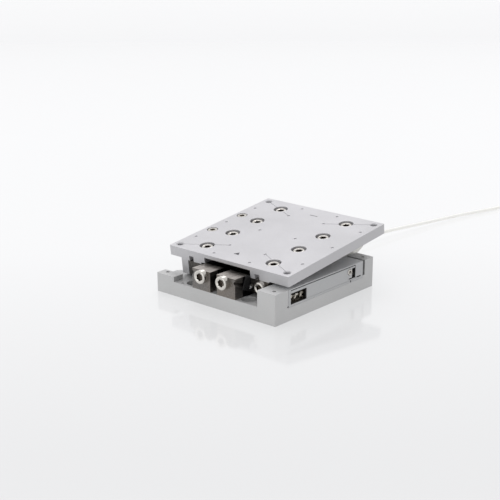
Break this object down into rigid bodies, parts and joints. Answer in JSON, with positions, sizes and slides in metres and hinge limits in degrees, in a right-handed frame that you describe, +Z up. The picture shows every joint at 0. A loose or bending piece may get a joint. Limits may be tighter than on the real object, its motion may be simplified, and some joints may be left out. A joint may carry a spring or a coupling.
{
  "type": "motorised tilt stage",
  "caption": "Low square motorised tilt stage: a screwed-down platform that rocks on two arc-shaped crossed-roller guides in a shallow base, with a thin lead and connector.",
  "frame": {"origin": "middle of the base's flat bottom face", "axes": "+Z up and out of the platform when it is level, +X along the tilt axis towards the drive side, +Y to the back, where the lead leaves"},
  "size_m": [0.087, 0.1812, 0.02],
  "materials": {
    "anodised_base": "fine bead-blasted clear anodise",
    "anodised_cover": "fine bead-blasted clear anodise",
    "anodised_platform": "fine bead-blasted clear anodise",
    "ground_steel": "surface-ground hardened steel",
    "bright_screw": "bright stainless steel",
    "dark_pin": "blackened steel",
    "drive_steel": "wire-cut spring steel",
    "piezo_ceramic": "lacquered ceramic stack",
    "white_ceramic": "polished white ceramic",
    "spring_steel": "drawn spring wire",
    "circuit_board": "solder-masked circuit board",
    "black_chip": "moulded black epoxy",
    "amber_film": "amber polyimide film",
    "white_jacket": "soft white cable jacket",
    "black_strap": "woven hook-and-loop strap",
    "nickel_shell": "satin nickel plate",
    "gold_contact": "gold-plated contact",
    "black_film": "matt black film",
    "scale_glass": "polished graduated scale",
    "cage_plastic": "moulded black plastic",
    "roller_steel": "polished bearing steel"
  },
  "bodies": {
    "base": {"base_frame": "anodised_base", "duct_cover": "anodised_base", "fixed_rail_left": "ground_steel", "fixed_rail_right": "ground_steel", "fixed_rail_screws": "bright_screw", "fixed_end_screws": "bright_screw", "side_cover": "anodised_cover", "cover_screw": "bright_screw", "cover_pins": "dark_pin", "side_inlay": "anodised_cover", "inlay_screw": "bright_screw", "drive_frame": "drive_steel", "drive_screws": "bright_screw", "piezo_stack": "piezo_ceramic", "friction_shoe": "white_ceramic", "preload_screw": "bright_screw", "preload_spring": "spring_steel", "encoder_board": "circuit_board", "encoder_readhead": "black_chip", "flex_lead": "amber_film", "cable_gland": "white_jacket", "cable_tube": "white_jacket", "cable_coil": "white_jacket", "coil_tie": "black_strap", "cable_tail": "white_jacket", "connector_boot": "white_jacket", "connector_shell": "nickel_shell", "connector_ring": "nickel_shell", "connector_insert": "black_chip", "connector_pins": "gold_contact"},
    "platform_body": {"platform": "anodised_platform", "inner_shield": "black_film", "moving_rail_left": "ground_steel", "moving_rail_right": "ground_steel", "platform_screws": "bright_screw", "moving_end_screws": "bright_screw", "platform_inserts": "bright_screw", "cheek_screws": "dark_pin", "runner_strip": "white_ceramic", "encoder_scale": "scale_glass"},
    "cage_left": {"roller_cage_left": "cage_plastic", "rollers_left": "roller_steel"},
    "cage_right": {"roller_cage_right": "cage_plastic", "rollers_right": "roller_steel"}
  },
  "joints": [
    {"name": "tilt", "type": "hinge", "parent": "base", "child": "platform_body", "pos_m": [0, 0, 0.0667], "axis": [1, 0, 0], "range_deg": [-14.2, 0.8]},
    {"name": "cage_left_roll", "type": "hinge", "parent": "base", "child": "cage_left", "pos_m": [0, 0, 0.0667], "axis": [1, 0, 0], "range_deg": [-7.2, 0.5]},
    {"name": "cage_right_roll", "type": "hinge", "parent": "base", "child": "cage_right", "pos_m": [0, 0, 0.0667], "axis": [1, 0, 0], "range_deg": [-7.2, 0.5]}
  ],
  "couplings": [
    {"joint": "cage_left_roll", "follows": "tilt", "ratio": 0.5},
    {"joint": "cage_right_roll", "follows": "tilt", "ratio": 0.5}
  ]
}
